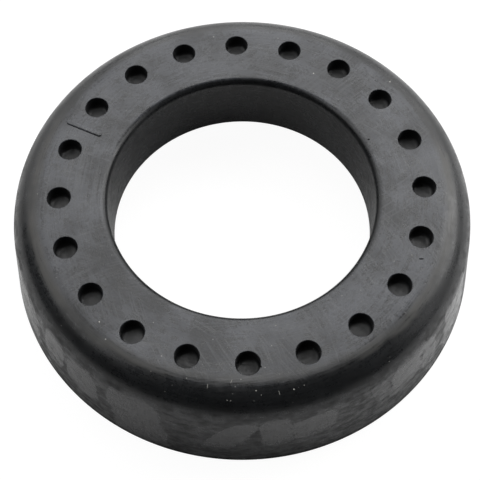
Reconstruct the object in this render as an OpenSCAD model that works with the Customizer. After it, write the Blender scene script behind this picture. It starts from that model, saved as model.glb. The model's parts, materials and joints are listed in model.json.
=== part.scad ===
// Coil spring insulator: one moulded rubber ring between a coil spring and its perch.
// The pad's top face lies against the perch, with a ring of blind holes that soften it.
// The spring's end coil nests inside the skirt, against the flat seat under the pad.
// Sections are drawn with X as the radius and Y as the height above the skirt's rim.

/* [Ring] */
// Overall height, from the rim of the skirt to the top face
height = 34.5; // [31:0.5:42]
// Outside diameter at the foot of the skirt
foot_d = 151; // [148:1:165]
// Diameter of the bore
bore_d = 84; // [70:1:92]
// Thickness of the pad, from the top face to the spring's seat
pad_t = 24; // [20:0.5:27]

/* [Skirt] */
// Thickness of the skirt, measured across its rim
skirt_t = 8; // [6:0.5:10]
// Slope of the skirt's sides, in degrees, so that it leaves the mould
skirt_draft = 6.8; // [2:0.2:8]
// Radius of the corner between the seat and the skirt, about that of the spring's wire
seat_corner_r = 7; // [2:0.5:9]
// Radius of both edges of the rim
rim_edge_r = 1; // [0.4:0.2:2.4]

/* [Edges] */
// Radius of the shoulder between the top face and the skirt
shoulder_r = 11; // [6:0.5:12]
// Radius of the bore's upper edge
bore_top_r = 2.5; // [0.5:0.5:4]
// Radius of the bore's lower edge
bore_foot_r = 1; // [0.2:0.2:2]

/* [Holes] */
// Number of blind holes in the top face
hole_count = 20; // [12:1:24]
// Diameter of the circle through their centres
hole_circle_d = 114; // [106:1:115]
// Diameter of one hole
hole_d = 7.4; // [5:0.2:9]
// Depth of one hole
hole_depth = 4.5; // [3:0.5:14]
// Radius of the corner round the floor of a hole
hole_floor_r = 1.5; // [0.5:0.1:2.2]

/* [Index mark] */
// Length of the raised mark that shows how the ring is turned
mark_len = 12.6; // [6:0.2:14]
// Width of the mark
mark_w = 1.6; // [1:0.1:3]
// Height of the mark above the top face
mark_h = 0.4; // [0.2:0.1:1]
// How far the middle of the mark lies inside the hole circle
mark_inset = 1; // [0:0.5:3]
// Number of holes from the far hole to the gap that holds the mark
mark_gap = 3; // [0:1:11]

/* [Hidden] */
$fn = 96;

foot_r = foot_d / 2;
bore_r = bore_d / 2;
hole_r = hole_d / 2;
hole_circle_r = hole_circle_d / 2;
rim_inner_r = foot_r - skirt_t;
seat_z = height - pad_t;

hole_step = 360 / hole_count;
far_hole_angle = 90;
mark_angle = far_hole_angle + (mark_gap + 0.5) * hole_step;
mark_mid_r = hole_circle_r - mark_inset;
// Depth to which the mark is rooted in the pad
mark_root = 2;
// How far a cutting shape runs past the face that it cuts
over = 1;

// Point at a distance from p, in a direction given in degrees
function point_at(p, angle, distance) = p + distance * [cos(angle), sin(angle)];

// Radius of a skirt face at height z, from its radius at the rim
function drafted_r(rim_r, z) = rim_r - z * tan(skirt_draft);

// What is cut from a corner at p to round it; a1 and a2 are the directions of its two faces
module corner_round(p, a1, a2, r) {
    half = (a2 - a1) / 2;
    middle = a1 + half;
    centre = point_at(p, middle, r / sin(half));
    difference() {
        polygon([
            point_at(p, middle, -over),
            point_at(p, a1, r / tan(half)),
            centre,
            point_at(p, a2, r / tan(half))
        ]);
        translate(centre) circle(r);
    }
}

// Half section of a drafted plug with a rounded shoulder, from z = -below to z = top
module drafted_section(rim_r, top, below, r) {
    difference() {
        polygon([
            [0, -below],
            [drafted_r(rim_r, -below), -below],
            [drafted_r(rim_r, top), top],
            [0, top]
        ]);
        corner_round([drafted_r(rim_r, top), top], 180, 270 + skirt_draft, r);
    }
}

// Outer form of the ring, before anything is cut from below
module blank_section() {
    difference() {
        drafted_section(foot_r, height, 0, shoulder_r);
        corner_round([foot_r, 0], 90 + skirt_draft, 180, rim_edge_r);
    }
}

module ring_section() {
    difference() {
        blank_section();
        drafted_section(rim_inner_r, seat_z, over, seat_corner_r);
        corner_round([rim_inner_r, 0], 0, 90 + skirt_draft, rim_edge_r);
        square([bore_r, height + over]);
        corner_round([bore_r, height], -90, 0, bore_top_r);
        corner_round([bore_r, seat_z], 0, 90, bore_foot_r);
    }
}

// The moulding pin that leaves one blind hole, with its mouth at z = 0
module hole_pin() {
    rotate_extrude()
        difference() {
            translate([0, -hole_depth]) square([hole_r, hole_depth + over]);
            corner_round([hole_r, -hole_depth], 90, 180, hole_floor_r);
        }
}

module hole_pins() {
    for (i = [0 : hole_count - 1])
        rotate([0, 0, far_hole_angle + i * hole_step])
            translate([hole_circle_r, 0, height]) hole_pin();
}

// Outline of the mark, a bar with round ends along X
module mark_outline() {
    end_x = (mark_len - mark_w) / 2;
    square([2 * end_x, mark_w], center = true);
    for (side = [-1, 1])
        translate([side * end_x, 0]) circle(mark_w / 2);
}

// The mark follows the top face and the start of the shoulder, mark_h above them
module index_mark() {
    intersection() {
        translate([0, 0, mark_h]) rotate_extrude() blank_section();
        rotate([0, 0, mark_angle])
            translate([mark_mid_r, 0, height - mark_root])
                linear_extrude(mark_root + mark_h + over) mark_outline();
    }
}

module spring_insulator() {
    color([0.15, 0.15, 0.16])
        union() {
            difference() {
                rotate_extrude() ring_section();
                hole_pins();
            }
            index_mark();
        }
}

spring_insulator();
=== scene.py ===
"""A black rubber coil spring insulator, seen from above as it stands on its skirt."""

import json
import math

import bpy
from mathutils import Matrix, Vector


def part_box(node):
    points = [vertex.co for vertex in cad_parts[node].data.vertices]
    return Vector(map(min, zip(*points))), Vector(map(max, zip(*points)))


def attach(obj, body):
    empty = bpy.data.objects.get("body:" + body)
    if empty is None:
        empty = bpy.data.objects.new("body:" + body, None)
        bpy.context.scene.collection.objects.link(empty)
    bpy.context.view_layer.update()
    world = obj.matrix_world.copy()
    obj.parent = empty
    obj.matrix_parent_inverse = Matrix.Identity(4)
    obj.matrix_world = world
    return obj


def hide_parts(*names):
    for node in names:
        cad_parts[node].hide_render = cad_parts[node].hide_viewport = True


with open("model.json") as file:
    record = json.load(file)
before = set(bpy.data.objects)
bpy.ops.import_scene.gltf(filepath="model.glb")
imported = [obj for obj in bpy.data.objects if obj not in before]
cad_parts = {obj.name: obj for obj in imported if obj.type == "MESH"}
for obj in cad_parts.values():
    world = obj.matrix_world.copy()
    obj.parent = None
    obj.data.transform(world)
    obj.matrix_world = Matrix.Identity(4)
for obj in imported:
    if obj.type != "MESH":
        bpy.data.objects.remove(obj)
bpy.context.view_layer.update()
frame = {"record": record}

# The camera.
# It looks down on the ring from the front at 62 degrees, almost square to the far hole.
# Its place was worked out from the rims of the twenty holes, which all lie in the top face.
MM = 0.001
foot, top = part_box("spring_insulator")
mounts = {mount["name"]: mount for mount in frame["record"]["mounts"]}
face_z = mounts["perch_face"]["pos_m"][2]

CAMERA_AIM = Vector((-1.05 * MM, -16.82 * MM, face_z))
CAMERA_DISTANCE = 340.4 * MM
CAMERA_ELEVATION = math.radians(62.18)
CAMERA_TURN = math.radians(1.04)
CAMERA_ROLL = math.radians(-0.81)
SENSOR = 36.0
FRAME_PIXELS = 480
FOCAL_PIXELS = 1117.7

camera_data = bpy.data.cameras.new("photo_camera")
camera_data.sensor_width = SENSOR
camera_data.lens = FOCAL_PIXELS * SENSOR / FRAME_PIXELS
camera_data.clip_start = 10 * MM
camera = bpy.data.objects.new("photo_camera", camera_data)
bpy.context.scene.collection.objects.link(camera)
bpy.context.scene.camera = camera
towards_camera = Vector((
    -math.sin(CAMERA_TURN) * math.cos(CAMERA_ELEVATION),
    -math.cos(CAMERA_TURN) * math.cos(CAMERA_ELEVATION),
    math.sin(CAMERA_ELEVATION),
))
aim = (-towards_camera).to_track_quat("-Z", "Y").to_matrix().to_4x4()
camera.matrix_world = (
    Matrix.Translation(CAMERA_AIM + CAMERA_DISTANCE * towards_camera)
    @ aim
    @ Matrix.Rotation(CAMERA_ROLL, 4, "Z")
)

# The ring.
# One moulding of black rubber: a thick pad with a bore, a rounded shoulder and a drafted skirt
# round the seat for the spring's end coil. It is turned from its section, as its mould is.
bore_r = mounts["bore"]["dims"]["r_mm"] * MM
seat_z = mounts["coil_seat"]["pos_m"][2]
SKIRT_T = 8.0 * MM
SKIRT_DRAFT = math.radians(6.8)
SHOULDER_R = 11.0 * MM
SEAT_CORNER_R = 7.0 * MM
RIM_EDGE_R = 1.0 * MM
BORE_TOP_R = 2.5 * MM
BORE_FOOT_R = 1.0 * MM
HOLE_CIRCLE_R = 57.0 * MM
RING_STEPS = 360

# The rim's outer edge is rounded, so the sharp corner that the section starts from lies further out
rim_edge_gain = RIM_EDGE_R * (1 / math.cos(SKIRT_DRAFT) + math.tan(SKIRT_DRAFT) - 1)
foot_r = top.x + rim_edge_gain
rim_inner_r = foot_r - SKIRT_T


def drafted_r(rim_r, z):
    """Radius of a skirt face at height z."""
    return rim_r - z * math.tan(SKIRT_DRAFT)


def rounded_outline(corners, steps_per_turn=72, closed=True):
    """Points of an outline whose corners, each (x, y, radius), are rounded by arcs."""
    points = []
    count = len(corners)
    for i, (x, y, radius) in enumerate(corners):
        here = Vector((x, y))
        ends = not closed and i in (0, count - 1)
        if radius == 0 or ends:
            points.append(here)
            continue
        before = Vector(corners[i - 1][:2]) - here
        after = Vector(corners[(i + 1) % count][:2]) - here
        half = before.angle(after) / 2
        middle = (before.normalized() + after.normalized()).normalized()
        centre = here + middle * radius / math.sin(half)
        first = here + before.normalized() * radius / math.tan(half) - centre
        last = here + after.normalized() * radius / math.tan(half) - centre
        turn = math.pi - 2 * half
        steps = max(3, round(steps_per_turn * turn / (2 * math.pi)))
        side = 1 if first.x * last.y - first.y * last.x > 0 else -1
        for k in range(steps + 1):
            angle = side * turn * k / steps
            turned = Vector((
                first.x * math.cos(angle) - first.y * math.sin(angle),
                first.x * math.sin(angle) + first.y * math.cos(angle),
            ))
            points.append(centre + turned)
    return points


def outline_object(name, points):
    """A closed line in the XY plane, as a mesh of edges."""
    mesh = bpy.data.meshes.new(name)
    edges = [(i, (i + 1) % len(points)) for i in range(len(points))]
    mesh.from_pydata([(p.x, p.y, 0) for p in points], edges, [])
    made = bpy.data.objects.new(name, mesh)
    bpy.context.scene.collection.objects.link(made)
    return made


# The corners run clockwise, with the radius to the right, so that the turned skin faces outwards
ring_corners = [
    (bore_r, face_z, BORE_TOP_R),
    (drafted_r(foot_r, face_z), face_z, SHOULDER_R),
    (foot_r, 0, RIM_EDGE_R),
    (rim_inner_r, 0, RIM_EDGE_R),
    (drafted_r(rim_inner_r, seat_z), seat_z, SEAT_CORNER_R),
    (bore_r, seat_z, BORE_FOOT_R),
]
ring_outline = rounded_outline(ring_corners, steps_per_turn=96)
ring = outline_object("insulator_ring", [Vector((p.x - HOLE_CIRCLE_R, -p.y)) for p in ring_outline])

# The blind holes.
# Twenty flat-bottomed hollows in the top face, left by pins of the mould. They let the rubber
# give under the spring. Each pin's mouth flares by a fraction of a millimetre.
HOLE_COUNT = 20
HOLE_R = 3.7 * MM
HOLE_DEPTH = 4.5 * MM
HOLE_FLOOR_R = 1.5 * MM
HOLE_MOUTH_R = 0.25 * MM
PIN_STEPS = 64
PIN_ABOVE = 0.6 * MM


def turned_solid(name, outline, steps):
    """A solid turned about Z from (radius, height) points that start and end on the axis."""
    verts = []
    for p in outline[1:-1]:
        for k in range(steps):
            angle = 2 * math.pi * k / steps
            verts.append((p.x * math.cos(angle), p.x * math.sin(angle), p.y))
    rings = len(outline) - 2
    low, high = len(verts), len(verts) + 1
    verts += [(0, 0, outline[0].y), (0, 0, outline[-1].y)]
    faces = []
    for k in range(steps):
        ahead = (k + 1) % steps
        faces.append((low, ahead, k))
        faces.append(((rings - 1) * steps + k, (rings - 1) * steps + ahead, high))
        for j in range(rings - 1):
            a, b = j * steps, (j + 1) * steps
            faces.append((a + k, a + ahead, b + ahead, b + k))
    mesh = bpy.data.meshes.new(name)
    mesh.from_pydata(verts, [], faces)
    made = bpy.data.objects.new(name, mesh)
    bpy.context.scene.collection.objects.link(made)
    return made


pin_mouth = [
    Vector((
        HOLE_R + HOLE_MOUTH_R * (1 - math.cos(math.radians(a))),
        HOLE_MOUTH_R * (math.sin(math.radians(a)) - 1),
    ))
    for a in range(0, 76, 15)
]
pin_outline = (
    rounded_outline(
        [(0, -HOLE_DEPTH, 0), (HOLE_R, -HOLE_DEPTH, HOLE_FLOOR_R), (HOLE_R, -HOLE_MOUTH_R, 0)],
        steps_per_turn=48,
        closed=False,
    )[:-1]
    + pin_mouth
    + [Vector((HOLE_R + 3 * HOLE_MOUTH_R, PIN_ABOVE)), Vector((0, PIN_ABOVE))]
)
pin = turned_solid("hole_pin", pin_outline, PIN_STEPS)

# The index mark.
# A low raised bar with round ends on the top face, halfway between two holes. It is cut into the
# mould and shows how the ring is turned.
MARK_LEN = 12.6 * MM
MARK_W = 1.6 * MM
MARK_INSET = 1.0 * MM
MARK_GAP = 3
MARK_ROOT = 1.0 * MM
MARK_STEPS = 10
mark_h = top.z - face_z
hole_step = 2 * math.pi / HOLE_COUNT
mark_angle = math.pi / 2 + (MARK_GAP + 0.5) * hole_step


def stadium(length, width, steps):
    """Outline of a bar with round ends along X, counter-clockwise."""
    points = []
    for side in (1, -1):
        for k in range(steps + 1):
            angle = math.pi * k / steps - math.pi / 2
            x = side * ((length - width) / 2 + width / 2 * math.cos(angle))
            points.append(Vector((x, side * width / 2 * math.sin(angle))))
    return points


def index_mark():
    """The mark as a solid, rooted in the pad, with its upper edge rounded."""
    levels = [(0.0, -MARK_ROOT)]
    levels += [(mark_h * (1 - math.cos(math.radians(a))), mark_h * math.sin(math.radians(a)))
               for a in (0, 20, 40, 60, 75, 90)]
    verts, faces = [], []
    for inset, z in levels:
        outline = stadium(MARK_LEN - 2 * inset, MARK_W - 2 * inset, MARK_STEPS)
        verts += [(p.x, p.y, z) for p in outline]
    size = 2 * (MARK_STEPS + 1)
    for j in range(len(levels) - 1):
        for k in range(size):
            ahead = (k + 1) % size
            a, b = j * size, (j + 1) * size
            faces.append((a + k, a + ahead, b + ahead, b + k))
    faces.append(tuple(reversed(range(size))))
    faces.append(tuple(range((len(levels) - 1) * size, len(levels) * size)))
    mesh = bpy.data.meshes.new("index_mark")
    mesh.from_pydata(verts, [], faces)
    middle = Vector(((HOLE_CIRCLE_R - MARK_INSET), 0, face_z))
    mesh.transform(Matrix.Rotation(mark_angle, 4, "Z") @ Matrix.Translation(middle))
    made = bpy.data.objects.new("index_mark", mesh)
    bpy.context.scene.collection.objects.link(made)
    return made


mark = index_mark()

# The nicks.
# Small marks of handling, cut into the rubber: a chip in the rim of the front hole, a short cut
# between two holes on the right and a pit near the bore.
# Each nick: distance from the axis in mm, degrees round the ring, half length, half width and
# depth in mm, and the direction of its length in degrees
NICKS = [
    (58.3, 273.4, 0.50, 0.42, 0.6, 30),
    (59.0, -25.2, 0.85, 0.22, 0.5, 0),
    (44.9, 23.7, 0.40, 0.30, 0.4, 0),
]
NICK_STEPS = 16


def nick_shapes():
    """The nicks as one mesh of separate balls, each stretched and turned to its place."""
    arc = [Vector((math.sin(math.pi * k / NICK_STEPS), -math.cos(math.pi * k / NICK_STEPS)))
           for k in range(NICK_STEPS + 1)]
    verts, faces = [], []
    for distance, degrees, half_length, half_width, depth, direction in NICKS:
        ball = turned_solid("nick", arc, NICK_STEPS)
        angle = math.radians(degrees)
        ball.data.transform(
            Matrix.Translation((distance * MM * math.cos(angle), distance * MM * math.sin(angle), face_z))
            @ Matrix.Rotation(math.radians(direction), 4, "Z")
            @ Matrix.Diagonal((half_length * MM, half_width * MM, depth * MM, 1))
        )
        start = len(verts)
        verts += [tuple(v.co) for v in ball.data.vertices]
        faces += [tuple(start + i for i in f.vertices) for f in ball.data.polygons]
        bpy.data.objects.remove(ball)
    mesh = bpy.data.meshes.new("nicks")
    mesh.from_pydata(verts, [], faces)
    made = bpy.data.objects.new("nicks", mesh)
    bpy.context.scene.collection.objects.link(made)
    return made


nicks = nick_shapes()

# The moulding.
# The section is turned into the ring, the pins leave their holes on an even circle, and the
# mark joins the top face, so that the whole is one closed skin as the real one is.


def new_tree(name, inputs):
    """An empty geometry node tree with named inputs, each (name, socket type, value)."""
    tree = bpy.data.node_groups.new(name, "GeometryNodeTree")
    tree.interface.new_socket("Geometry", in_out="INPUT", socket_type="NodeSocketGeometry")
    for label, kind, value in inputs:
        socket = tree.interface.new_socket(label, in_out="INPUT", socket_type=kind)
        if value is not None:
            socket.default_value = value
    tree.interface.new_socket("Geometry", in_out="OUTPUT", socket_type="NodeSocketGeometry")
    return tree


def add_node(tree, kind, settings=None, **values):
    """A node with its settings, and its inputs given by name with _ for a space."""
    node = tree.nodes.new(kind)
    for key, value in (settings or {}).items():
        setattr(node, key, value)
    for key, value in values.items():
        name = key.replace("_", " ")
        if isinstance(value, bpy.types.NodeSocket):
            tree.links.new(value, node.inputs[name])
        else:
            node.inputs[name].default_value = value
    return node


def moulding_tree():
    tree = new_tree("moulded_ring", [
        ("Hole circle radius", "NodeSocketFloat", HOLE_CIRCLE_R),
        ("Steps round the ring", "NodeSocketInt", RING_STEPS),
        ("Holes", "NodeSocketInt", HOLE_COUNT),
        ("Top face", "NodeSocketFloat", face_z),
        ("Pin", "NodeSocketObject", None),
        ("Mark", "NodeSocketObject", None),
        ("Nicks", "NodeSocketObject", None),
        ("Rubber", "NodeSocketMaterial", None),
    ])
    given = tree.nodes.new("NodeGroupInput").outputs
    result = tree.nodes.new("NodeGroupOutput").inputs
    section = add_node(tree, "GeometryNodeMeshToCurve", Mesh=given["Geometry"])
    path = add_node(tree, "GeometryNodeCurvePrimitiveCircle",
                    Resolution=given["Steps round the ring"], Radius=given["Hole circle radius"])
    turned = add_node(tree, "GeometryNodeCurveToMesh",
                      Curve=path.outputs["Curve"], Profile_Curve=section.outputs["Curve"])
    circle = add_node(tree, "GeometryNodeMeshCircle",
                      Vertices=given["Holes"], Radius=given["Hole circle radius"])
    height = add_node(tree, "ShaderNodeCombineXYZ", Z=given["Top face"])
    # Half a turn of the ring's own step puts a hole on the far side
    quarter = add_node(tree, "GeometryNodeTransform", Geometry=circle.outputs["Mesh"],
                       Translation=height.outputs["Vector"], Rotation=(0, 0, math.pi / 2))
    pin_shape = add_node(tree, "GeometryNodeObjectInfo", Object=given["Pin"])
    pins = add_node(tree, "GeometryNodeInstanceOnPoints", Points=quarter.outputs["Geometry"],
                    Instance=pin_shape.outputs["Geometry"])
    real_pins = add_node(tree, "GeometryNodeRealizeInstances", Geometry=pins.outputs["Instances"])
    drilled = tree.nodes.new("GeometryNodeMeshBoolean")
    drilled.operation = "DIFFERENCE"
    drilled.solver = "MANIFOLD"
    tree.links.new(turned.outputs["Mesh"], drilled.inputs["Mesh 1"])
    tree.links.new(real_pins.outputs["Geometry"], drilled.inputs["Mesh 2"])
    nick_shape = add_node(tree, "GeometryNodeObjectInfo", Object=given["Nicks"])
    tree.links.new(nick_shape.outputs["Geometry"], drilled.inputs["Mesh 2"])
    mark_shape = add_node(tree, "GeometryNodeObjectInfo", Object=given["Mark"])
    marked = tree.nodes.new("GeometryNodeMeshBoolean")
    marked.operation = "UNION"
    marked.solver = "MANIFOLD"
    tree.links.new(drilled.outputs["Mesh"], marked.inputs["Mesh 2"])
    tree.links.new(mark_shape.outputs["Geometry"], marked.inputs["Mesh 2"])
    real = add_node(tree, "GeometryNodeRealizeInstances", Geometry=marked.outputs["Mesh"])
    faced = add_node(tree, "GeometryNodeSetMaterial", Geometry=real.outputs["Geometry"],
                     Material=given["Rubber"])
    tree.links.new(faced.outputs["Geometry"], result["Geometry"])
    return tree


def shape_by_nodes(piece, tree, values):
    """Runs the tree on the piece and leaves the result as its plain mesh."""
    modifier = piece.modifiers.new(tree.name, "NODES")
    modifier.node_group = tree
    for item in tree.interface.items_tree:
        if item.in_out == "INPUT" and item.name in values:
            modifier[item.identifier] = values[item.name]
    bpy.context.view_layer.update()
    graph = bpy.context.evaluated_depsgraph_get()
    mesh = bpy.data.meshes.new_from_object(piece.evaluated_get(graph))
    piece.modifiers.remove(modifier)
    old, piece.data = piece.data, mesh
    mesh.name = piece.name
    bpy.data.meshes.remove(old)


# The rubber.
# Black natural rubber as it left the mould and was handled: fine lines round the bore, fine rubs
# on the top face, a worn band where the shoulder starts that is partly a painted highlight, a
# painted shade in a crease beside it at the front, smooth tongues where the rubber flowed down the
# skirt's wall between duller parts, their paleness partly a painted reflection, and some dust.
BASE_GREY = (0.0124, 0.0132, 0.0142, 1)
COOL_DARK = (0.007, 0.008, 0.010, 1)
RUBBED_PALE = (0.042, 0.045, 0.052, 1)
# Pale grey of the worn band: partly wear, partly a painted highlight where the shoulder starts
WORN_HIGHLIGHT_GREY = (0.070, 0.068, 0.062, 1)
RUB_GREY = (0.070, 0.073, 0.078, 1)
# Pale grey of the flow tongues: partly flow marks, partly a painted reflection of the floor beside the skirt
FLOW_REFLECTION_GREY = (0.070, 0.071, 0.073, 1)
# Near black for the painted shade in the crease at the front of the shoulder
CREASE_SHADE_BLACK = (0.004, 0.004, 0.004, 1)
DUST_WHITE = (0.55, 0.54, 0.50, 1)

# Flow tongues on the skirt: middle and half width in degrees round the ring, the heights of the
# lower and the upper end in mm, how many degrees each leans per mm of height, and how pale it is, a paleness
# that is partly a painted reflection of the bright floor beside the skirt
FLOW_TONGUES = [
    (174.0, 5.0, 12.0, 27.0, 0.2, 0.4),
    (200.0, 9.0, 1.0, 27.0, 0.0, 0.9),
    (216.5, 4.0, 8.0, 27.0, 0.1, 0.9),
    (226.5, 5.2, 8.0, 26.0, -0.1, 0.9),
    (242.5, 7.3, 2.0, 27.5, -0.1, 1.0),
    (265.5, 4.0, 8.0, 25.5, 0.5, 1.0),
    (276.3, 3.9, 10.0, 27.0, -0.1, 1.0),
    (285.0, 5.4, 12.0, 24.5, 0.1, 1.0),
    (303.0, 2.4, 14.0, 26.0, -0.2, 0.5),
    (311.5, 5.4, 10.5, 28.0, 0.1, 1.0),
    (319.5, 3.0, 8.5, 26.0, 0.0, 0.9),
    (333.0, 7.0, 2.0, 28.0, 0.0, 1.0),
    (20.0, 10.0, 4.0, 27.0, 0.1, 0.5),
    (52.0, 6.0, 9.0, 25.0, 0.4, 0.4),
    (71.0, 8.5, 3.0, 27.0, 0.0, 0.5),
    (98.0, 6.5, 11.0, 26.0, -0.4, 0.4),
    (124.0, 9.0, 6.0, 27.5, 0.1, 0.5),
    (153.0, 6.0, 2.0, 25.0, -0.2, 0.4),
]

# White specks and short fibres: distance from the axis in mm, degrees round the ring, half length
# and half width in mm, the fibre's direction in degrees and how white it is
WHITE_MARKS = [
    (64.4, 39.0, 0.22, 0.20, 0, 1.0),
    (51.2, 60.6, 0.24, 0.22, 0, 1.0),
    (61.1, 76.7, 0.16, 0.16, 0, 0.7),
    (61.3, 97.1, 0.20, 0.20, 0, 0.8),
    (60.6, 224.6, 0.22, 0.20, 0, 1.0),
    (63.3, 229.4, 0.20, 0.18, 0, 0.8),
    (51.2, 237.8, 0.16, 0.16, 0, 0.6),
    (59.4, 245.2, 0.18, 0.16, 0, 0.6),
    (52.2, 277.8, 0.16, 0.16, 0, 0.6),
    (63.4, 253.8, 0.17, 0.15, 0, 0.5),
    (67.7, 265.5, 0.17, 0.16, 0, 0.6),
    (65.2, 271.8, 0.20, 0.17, 0, 0.9),
    (66.4, 273.0, 0.15, 0.14, 0, 0.6),
    (66.2, 281.2, 0.22, 0.19, 0, 0.9),
    (64.5, 259.5, 0.75, 0.09, 80, 0.5),
    (62.5, 265.5, 0.65, 0.09, 65, 0.5),
    (66.4, 277.5, 0.70, 0.09, 105, 0.5),
]
shoulder_start = drafted_r(foot_r, face_z) - SHOULDER_R * math.tan((math.pi / 2 - SKIRT_DRAFT) / 2)


def calc(tree, operation, *values):
    """Result of a math node whose inputs are sockets or numbers."""
    node = add_node(tree, "ShaderNodeMath", {"operation": operation})
    for i, value in enumerate(values):
        if isinstance(value, bpy.types.NodeSocket):
            tree.links.new(value, node.inputs[i])
        else:
            node.inputs[i].default_value = value
    return node.outputs[0]


def fade(tree, value, start, end, low=0.0, high=1.0):
    """Goes smoothly from low to high while the value goes from start to end."""
    return add_node(tree, "ShaderNodeMapRange", {"interpolation_type": "SMOOTHSTEP"}, Value=value,
                    From_Min=start, From_Max=end, To_Min=low, To_Max=high).outputs["Result"]


def noise(tree, vector, scale, detail=2.0, roughness=0.5, w=None):
    """Value of a noise texture, about 0.5 on average; w adds a fourth coordinate."""
    node = add_node(tree, "ShaderNodeTexNoise", {"noise_dimensions": "4D" if w else "3D"},
                    Vector=vector, Scale=scale, Detail=detail, Roughness=roughness)
    if w:
        tree.links.new(w, node.inputs["W"])
    return node.outputs[0]


def vector_of(tree, x, y, z):
    node = tree.nodes.new("ShaderNodeCombineXYZ")
    for i, value in enumerate((x, y, z)):
        if isinstance(value, bpy.types.NodeSocket):
            tree.links.new(value, node.inputs[i])
        else:
            node.inputs[i].default_value = value
    return node.outputs[0]


def blend(tree, share, first, second):
    """Colour that goes from first to second; each is a socket or a colour."""
    node = add_node(tree, "ShaderNodeMix", {"data_type": "RGBA"})
    tree.links.new(share, node.inputs["Factor"])
    for socket, colour in ((node.inputs[6], first), (node.inputs[7], second)):
        if isinstance(colour, bpy.types.NodeSocket):
            tree.links.new(colour, socket)
        else:
            socket.default_value = colour
    return node.outputs[2]


def rub_lines(tree, mm, centre_x, centre_y):
    """Fine curved rubs round a centre given in mm, in patches."""
    moved = add_node(tree, "ShaderNodeMapping", Vector=mm, Location=(-centre_x, -centre_y, 0)).outputs[0]
    parts = add_node(tree, "ShaderNodeSeparateXYZ", Vector=moved).outputs
    away = add_node(tree, "ShaderNodeVectorMath", {"operation": "LENGTH"},
                    Vector=vector_of(tree, parts["X"], parts["Y"], 0.0)).outputs["Value"]
    aside = calc(tree, "MULTIPLY", calc(tree, "DIVIDE", parts["X"], away), 4.0)
    ahead = calc(tree, "MULTIPLY", calc(tree, "DIVIDE", parts["Y"], away), 4.0)
    drawn = vector_of(tree, aside, ahead, calc(tree, "MULTIPLY", away, 2.2))
    line = fade(tree, noise(tree, drawn, 1.0, 2.0, 0.6), 0.50, 0.66)
    patch = fade(tree, noise(tree, moved, 0.06, 1.0), 0.42, 0.56)
    return calc(tree, "MULTIPLY", line, patch)


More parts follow.
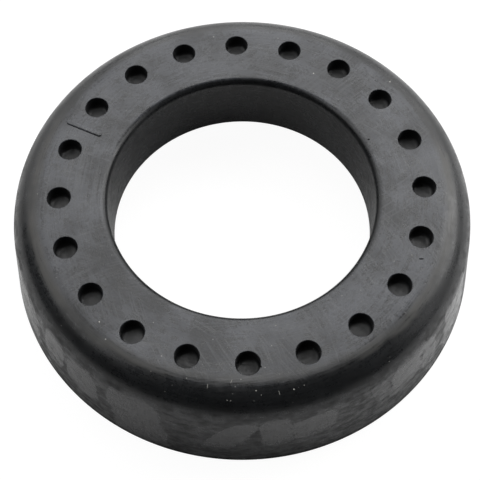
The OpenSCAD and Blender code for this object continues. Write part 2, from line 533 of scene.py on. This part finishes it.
def rubber_material():
    material = bpy.data.materials.new("moulded_rubber")
    material.use_nodes = True
    tree = material.node_tree
    shader = tree.nodes["Principled BSDF"]
    place = tree.nodes.new("ShaderNodeTexCoord").outputs["Object"]
    mm = add_node(tree, "ShaderNodeVectorMath", {"operation": "SCALE"},
                  Vector=place, Scale=1 / MM).outputs["Vector"]
    parts = add_node(tree, "ShaderNodeSeparateXYZ", Vector=mm).outputs
    x, y, z = parts["X"], parts["Y"], parts["Z"]
    radius = add_node(tree, "ShaderNodeVectorMath", {"operation": "LENGTH"},
                      Vector=vector_of(tree, x, y, 0.0)).outputs["Value"]
    across, along = calc(tree, "DIVIDE", x, radius), calc(tree, "DIVIDE", y, radius)
    turn = calc(tree, "MULTIPLY", calc(tree, "ARCTAN2", y, x), 180 / math.pi)
    turn = calc(tree, "WRAP", turn, 360.0, 0.0)

    # Where on the ring a point lies
    on_top = fade(tree, z, 34.0, 34.46)
    on_wall = calc(tree, "MULTIPLY", fade(tree, radius, 69.0, 72.0), fade(tree, z, 29.0, 26.5))
    on_wall = calc(tree, "MULTIPLY", on_wall, fade(tree, z, 0.1, 0.8))
    cloud = noise(tree, mm, 0.07, 4.0, 0.55)
    wide = noise(tree, mm, 0.028, 2.0)
    mottle = noise(tree, mm, 0.33, 5.0, 0.65)
    grain = noise(tree, mm, 1.1, 3.0, 0.7)
    wobble = noise(tree, vector_of(tree, calc(tree, "MULTIPLY", across, 9.0),
                                   calc(tree, "MULTIPLY", along, 9.0), 0.0), 1.0, 3.0)

    # Fine lines round the axis
    round_place = vector_of(tree, calc(tree, "MULTIPLY", across, 5.0),
                            calc(tree, "MULTIPLY", along, 5.0), calc(tree, "MULTIPLY", radius, 1.5))
    rings = noise(tree, round_place, 1.0, 3.0, 0.65, w=calc(tree, "MULTIPLY", z, 1.5))
    rubs = calc(tree, "MAXIMUM", rub_lines(tree, mm, -28.0, -66.0), rub_lines(tree, mm, 72.0, -8.0))
    rubs = calc(tree, "MAXIMUM", rubs, rub_lines(tree, mm, -14.0, 90.0))
    rubs = calc(tree, "MULTIPLY", rubs, on_top)

    # Fine lines down the skirt's wall, drawn when the mould was pulled off
    drawn_place = vector_of(tree, calc(tree, "MULTIPLY", across, 75.0),
                            calc(tree, "MULTIPLY", along, 75.0), calc(tree, "MULTIPLY", z, 0.09))
    drawn = noise(tree, drawn_place, 1.0, 3.0, 0.65)
    swirl_place = vector_of(tree, calc(tree, "MULTIPLY", across, 16.0),
                            calc(tree, "MULTIPLY", along, 16.0), calc(tree, "MULTIPLY", z, 0.42))
    swirl = noise(tree, swirl_place, 1.0, 6.0, 0.68)
    wide_wall = calc(tree, "MULTIPLY", fade(tree, radius, 67.5, 71.0), fade(tree, z, 32.0, 28.0))
    wide_wall = calc(tree, "MULTIPLY", wide_wall, fade(tree, z, 0.1, 0.8))
    wide_wall = calc(tree, "MAXIMUM", wide_wall, fade(tree, radius, 43.5, 42.4, 0.0, 0.35))

    # The worn band, partly wear and partly a painted highlight where the shoulder starts to tilt, lies
    # nearer to the holes at the front and fades at the back
    front = calc(tree, "MAXIMUM", calc(tree, "MULTIPLY", along, -1.0), 0.0)
    band_r = calc(tree, "SUBTRACT", 65.2, calc(tree, "MULTIPLY", calc(tree, "POWER", front, 4.0), 3.2))
    band_r = calc(tree, "ADD", band_r, calc(tree, "MULTIPLY", calc(tree, "SUBTRACT", wobble, 0.5), 3.0))
    off_band = calc(tree, "ABSOLUTE", calc(tree, "SUBTRACT", radius, band_r))
    worn_and_highlight = calc(tree, "MULTIPLY", fade(tree, off_band, 2.3, 0.4), fade(tree, along, 0.75, 0.1))
    worn_and_highlight = calc(tree, "MULTIPLY", worn_and_highlight, fade(tree, z, 31.0, 32.5))
    worn_and_highlight = calc(tree, "MULTIPLY", worn_and_highlight, fade(tree, rings, 0.35, 0.6, 0.35, 1.0))
    worn_and_highlight = calc(tree, "MULTIPLY", worn_and_highlight, fade(tree, cloud, 0.35, 0.62, 0.3, 1.0))
    # A shallow crease where the shoulder starts, at the front: a groove in the relief, darkened with painted
    # shade
    off_shaded_crease = calc(tree, "ABSOLUTE", calc(tree, "SUBTRACT", radius, 63.3))
    shaded_crease = calc(tree, "MULTIPLY", fade(tree, off_shaded_crease, 0.7, 0.1), fade(tree, along, 0.6, 0.1))
    shaded_crease = calc(tree, "MULTIPLY", shaded_crease, fade(tree, z, 31.0, 32.5))

    # Flow tongues, smoother rubber whose paleness is partly a painted reflection of the floor: rounded at
    # both ends, with an uneven edge
    edge = calc(tree, "MULTIPLY", calc(tree, "SUBTRACT", noise(tree, mm, 0.17, 5.0, 0.7), 0.5), 4.5)
    edge = calc(tree, "ADD", edge, calc(tree, "MULTIPLY", calc(tree, "SUBTRACT", swirl, 0.5), 1.6))
    flow_and_reflection = None
    for middle, half, low, high, lean, pale_reflection in FLOW_TONGUES:
        rise = calc(tree, "SUBTRACT", z, (low + high) / 2)
        away = calc(tree, "SUBTRACT", calc(tree, "SUBTRACT", turn, middle),
                    calc(tree, "MULTIPLY", rise, lean))
        sideways = calc(tree, "DIVIDE", calc(tree, "WRAP", away, 180.0, -180.0), half)
        upward = calc(tree, "DIVIDE", rise, (high - low) / 2)
        reach = calc(tree, "ADD", calc(tree, "POWER", calc(tree, "ABSOLUTE", sideways), 4.0),
                     calc(tree, "POWER", calc(tree, "ABSOLUTE", upward), 4.0))
        reach = calc(tree, "ADD", reach, edge)
        tongue = calc(tree, "MULTIPLY", fade(tree, reach, 1.15, 0.8, 0.0, pale_reflection),
                      fade(tree, upward, -1.1, -0.2, 0.55, 1.0))
        flow_and_reflection = tongue if flow_and_reflection is None else calc(tree, "MAXIMUM", flow_and_reflection, tongue)
    flow_and_reflection = calc(tree, "MULTIPLY", flow_and_reflection, on_wall)

    # Dust: scattered specks, thicker on the front shoulder, and the larger white ones
    cells = add_node(tree, "ShaderNodeTexVoronoi", {"feature": "F1"}, Vector=mm, Scale=0.55,
                     Randomness=1.0)
    chance = add_node(tree, "ShaderNodeSeparateColor", Color=cells.outputs["Color"]).outputs
    bound = calc(tree, "SUBTRACT", 0.93, calc(tree, "MULTIPLY", calc(tree, "POWER", front, 2.0), 0.53))
    picked = calc(tree, "GREATER_THAN", chance[0], bound)
    speck = calc(tree, "MULTIPLY", fade(tree, cells.outputs["Distance"], 0.12, 0.04), picked)
    speck = calc(tree, "MULTIPLY", speck, calc(tree, "POWER", chance[1], 2.5))
    dust = calc(tree, "MULTIPLY", calc(tree, "MULTIPLY", speck, 0.7), fade(tree, z, 27.0, 30.0))
    for distance, degrees, half_length, half_width, direction, strength in WHITE_MARKS:
        angle = math.radians(degrees)
        drop = SHOULDER_R / MM - math.sqrt(
            (SHOULDER_R / MM) ** 2 - max(0.0, distance - shoulder_start / MM) ** 2)
        shape = add_node(tree, "ShaderNodeMapping", {"vector_type": "TEXTURE"}, Vector=mm,
                         Location=(distance * math.cos(angle), distance * math.sin(angle),
                                   face_z / MM - drop),
                         Rotation=(0, 0, math.radians(direction)),
                         Scale=(half_length, half_width, 1.0))
        inside = add_node(tree, "ShaderNodeVectorMath", {"operation": "LENGTH"},
                          Vector=shape.outputs[0]).outputs["Value"]
        dust = calc(tree, "MAXIMUM", dust, fade(tree, inside, 1.25, 0.6, 0.0, strength))

    # Colour
    rubbed = calc(tree, "MULTIPLY", fade(tree, rings, 0.34, 0.68), 0.36)
    rubbed = calc(tree, "ADD", rubbed, calc(tree, "MULTIPLY", fade(tree, mottle, 0.38, 0.62), 0.28))
    rubbed = calc(tree, "ADD", rubbed, calc(tree, "MULTIPLY", fade(tree, cloud, 0.36, 0.64), 0.24))
    rubbed = calc(tree, "ADD", rubbed, calc(tree, "MULTIPLY", fade(tree, wide, 0.38, 0.62), 0.12))
    rubbed = calc(tree, "ADD", rubbed, calc(tree, "MULTIPLY", fade(tree, grain, 0.32, 0.68), 0.30))
    face = blend(tree, fade(tree, rubbed, 0.40, 0.84), COOL_DARK, RUBBED_PALE)
    colour = blend(tree, on_top, BASE_GREY, face)
    tone = fade(tree, cloud, 0.3, 0.72, 0.7, 1.35)
    patches = calc(tree, "MULTIPLY", fade(tree, swirl, 0.36, 0.64, 0.4, 1.9),
                   fade(tree, drawn, 0.3, 0.7, 0.6, 1.4))
    patches = calc(tree, "MULTIPLY", calc(tree, "SUBTRACT", patches, 1.0), wide_wall)
    tone = calc(tree, "MULTIPLY", tone, calc(tree, "ADD", patches, 1.0))
    toned = add_node(tree, "ShaderNodeVectorMath", {"operation": "SCALE"}, Vector=colour, Scale=tone)
    # The tongues' paleness: partly flow marks, partly a painted reflection
    pale_flow_reflection = calc(tree, "MULTIPLY", flow_and_reflection, fade(tree, drawn, 0.3, 0.65, 0.6, 1.0))
    colour = blend(tree, pale_flow_reflection, toned.outputs["Vector"], FLOW_REFLECTION_GREY)
    colour = blend(tree, calc(tree, "MULTIPLY", rubs, 0.6), colour, RUB_GREY)
    # The worn band: partly wear, partly a painted highlight
    colour = blend(tree, calc(tree, "MULTIPLY", worn_and_highlight, 0.75), colour, WORN_HIGHLIGHT_GREY)
    # Painted shade in the crease
    colour = blend(tree, calc(tree, "MULTIPLY", shaded_crease, 0.2), colour, CREASE_SHADE_BLACK)
    colour = blend(tree, dust, colour, DUST_WHITE)
    tree.links.new(colour, shader.inputs["Base Color"])

    # Gloss: the tongues are smooth, worn and rubbed rubber is dull
    gloss = fade(tree, cloud, 0.3, 0.7, 0.34, 0.25)
    gloss = calc(tree, "ADD", gloss, fade(tree, rings, 0.3, 0.7, -0.06, 0.06))
    gloss = calc(tree, "ADD", gloss, fade(tree, grain, 0.3, 0.7, -0.05, 0.05))
    gloss = calc(tree, "ADD", gloss, fade(tree, mottle, 0.35, 0.65, -0.04, 0.04))
    dull = calc(tree, "SUBTRACT", on_wall, calc(tree, "MULTIPLY", flow_and_reflection, 2.9))
    gloss = calc(tree, "ADD", gloss, calc(tree, "MULTIPLY", dull, 0.09))
    blotch = calc(tree, "MULTIPLY", wide_wall, fade(tree, swirl, 0.36, 0.64, 0.20, -0.11))
    gloss = calc(tree, "ADD", gloss, blotch)
    foot_line = calc(tree, "MULTIPLY", fade(tree, z, 3.0, 1.2), fade(tree, radius, 66.0, 67.0))
    gloss = calc(tree, "ADD", gloss, calc(tree, "MULTIPLY", foot_line, 0.25))
    from_circle = calc(tree, "ABSOLUTE", calc(tree, "SUBTRACT", radius, HOLE_CIRCLE_R / MM))
    in_hole = calc(tree, "MULTIPLY", fade(tree, from_circle, 4.3, 3.9), fade(tree, z, 34.0, 33.0))
    in_hole = calc(tree, "MULTIPLY", in_hole, fade(tree, z, 27.0, 28.0))
    gloss = calc(tree, "ADD", gloss, calc(tree, "MULTIPLY", in_hole, 0.2))
    gloss = calc(tree, "ADD", gloss, calc(tree, "MULTIPLY", worn_and_highlight, 0.15))
    on_shoulder = calc(tree, "MULTIPLY", fade(tree, radius, 60.8, 62.2), fade(tree, z, 24.0, 28.0))
    gloss = calc(tree, "ADD", gloss, calc(tree, "MULTIPLY", on_shoulder, 0.03))
    gloss = calc(tree, "ADD", gloss, calc(tree, "MULTIPLY", dust, 0.4))
    tree.links.new(gloss, shader.inputs["Roughness"])
    shader.inputs["IOR"].default_value = 1.52
    shader.inputs["Sheen Weight"].default_value = 0.1
    shader.inputs["Sheen Roughness"].default_value = 0.3

    # Relief: fine grain, the lines round the axis and the tongues' slightly raised edges
    relief = calc(tree, "MULTIPLY", grain, fade(tree, on_top, 0.0, 1.0, 0.003, 0.012))
    relief = calc(tree, "ADD", relief, calc(tree, "MULTIPLY", rubs, 0.006))
    relief = calc(tree, "ADD", relief,
                  calc(tree, "MULTIPLY", calc(tree, "MULTIPLY", grain, in_hole), 0.03))
    relief = calc(tree, "ADD", relief, calc(tree, "MULTIPLY", rings, 0.022))
    relief = calc(tree, "ADD", relief, calc(tree, "MULTIPLY", cloud, 0.05))
    relief = calc(tree, "ADD", relief, calc(tree, "MULTIPLY", calc(tree, "MULTIPLY", mottle, on_top), 0.05))
    relief = calc(tree, "ADD", relief, calc(tree, "MULTIPLY", flow_and_reflection, 0.03))
    wall_relief = calc(tree, "ADD", calc(tree, "MULTIPLY", drawn, 0.02), calc(tree, "MULTIPLY", swirl, 0.05))
    relief = calc(tree, "ADD", relief, calc(tree, "MULTIPLY", wall_relief, on_wall))
    relief = calc(tree, "SUBTRACT", relief, calc(tree, "MULTIPLY", shaded_crease, 0.008))
    bump = add_node(tree, "ShaderNodeBump", Strength=1.0, Distance=MM, Height=relief)
    tree.links.new(bump.outputs["Normal"], shader.inputs["Normal"])
    return material


rubber = rubber_material()
shape_by_nodes(ring, moulding_tree(), {
    "Pin": pin, "Mark": mark, "Nicks": nicks, "Rubber": rubber,
})
bpy.data.objects.remove(pin)
bpy.data.objects.remove(mark)
bpy.data.objects.remove(nicks)
ring.data.shade_smooth()
ring.data.set_sharp_from_angle(angle=math.radians(32))
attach(ring, "root")
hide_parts("spring_insulator")

# The studio.
# A pale floor under an arch of soft boxes that stand behind the ring and at its sides. The
# brightest is behind it on the right, and nothing lights it from the camera's side.
FLOOR_SIDE = 6.0


def floor_material():
    material = bpy.data.materials.new("pale_floor")
    material.use_nodes = True
    tree = material.node_tree
    diffuse = tree.nodes["Principled BSDF"]
    diffuse.inputs["Base Color"].default_value = (0.85, 0.85, 0.85, 1)
    diffuse.inputs["Roughness"].default_value = 0.9
    diffuse.inputs["Specular IOR Level"].default_value = 0
    white = add_node(tree, "ShaderNodeEmission", Strength=1.12)
    rays = tree.nodes.new("ShaderNodeLightPath")
    share = add_node(tree, "ShaderNodeMath", {"operation": "MULTIPLY"})
    tree.links.new(rays.outputs["Is Camera Ray"], share.inputs[0])
    share.inputs[1].default_value = 0.85
    mixed = tree.nodes.new("ShaderNodeMixShader")
    tree.links.new(share.outputs[0], mixed.inputs[0])
    tree.links.new(diffuse.outputs[0], mixed.inputs[1])
    tree.links.new(white.outputs[0], mixed.inputs[2])
    tree.links.new(mixed.outputs[0], tree.nodes["Material Output"].inputs["Surface"])
    return material


floor_mesh = bpy.data.meshes.new("floor")
reach = FLOOR_SIDE / 2
floor_mesh.from_pydata(
    [(-reach, -reach, 0), (reach, -reach, 0), (reach, reach, 0), (-reach, reach, 0)], [], [(0, 1, 2, 3)]
)
floor_mesh.materials.append(floor_material())
floor = bpy.data.objects.new("floor", floor_mesh)
bpy.context.scene.collection.objects.link(floor)


# Each soft box: direction round the ring and height above the floor, in degrees, distance, width and
# height in metres, and radiance
SOFT_BOXES = {
    "low_right": (0, 22, 1.5, 1.09, 0.85, 0.8),
    "low_back_right": (45, 22, 1.5, 1.09, 0.85, 1.7),
    "low_back": (90, 22, 1.5, 1.09, 0.85, 2.0),
    "low_back_left": (135, 22, 1.5, 1.09, 0.85, 1.2),
    "high_back_right": (45, 50, 1.5, 0.74, 0.70, 3.3),
    "high_back": (90, 50, 1.5, 0.74, 0.70, 2.4),
    "high_back_left": (135, 50, 1.5, 0.74, 0.70, 1.9),
    "high_left": (180, 50, 1.5, 0.74, 0.70, 1.8),
    "overhead": (90, 75, 1.5, 0.60, 0.55, 3.0),
}
# A small box at the right lights the floor beside the skirt, which the wall mirrors
SIDE_BOX = (14, 35, 0.42, 0.20, 0.20, 3.5)
SIDE_AIM = Vector((0.12, -0.02, 0))


def soft_box(name, turn, lift, distance, width, height, radiance, target=Vector()):
    """An area lamp aimed at a point; its power follows from its radiance and size."""
    data = bpy.data.lights.new(name, "AREA")
    data.shape = "RECTANGLE"
    data.size = width
    data.size_y = height
    data.energy = math.pi * radiance * width * height
    lamp = bpy.data.objects.new(name, data)
    turn, lift = math.radians(turn), math.radians(lift)
    lamp.location = distance * Vector((
        math.cos(lift) * math.cos(turn), math.cos(lift) * math.sin(turn), math.sin(lift)
    ))
    lamp.rotation_euler = (target - lamp.location).to_track_quat("-Z", "Y").to_euler()
    bpy.context.scene.collection.objects.link(lamp)


for name, settings in SOFT_BOXES.items():
    soft_box(name, *settings)
soft_box("side", *SIDE_BOX, target=SIDE_AIM)

world = bpy.data.worlds.new("studio")
bpy.context.scene.world = world
world.use_nodes = True
background = world.node_tree.nodes["Background"]
background.inputs["Color"].default_value = (1, 1, 1, 1)
rays = world.node_tree.nodes.new("ShaderNodeLightPath")
level = add_node(world.node_tree, "ShaderNodeMapRange", Value=rays.outputs["Is Camera Ray"],
                 To_Min=0.0, To_Max=1.0)
world.node_tree.links.new(level.outputs["Result"], background.inputs["Strength"])
bpy.context.scene.view_settings.view_transform = "Standard"
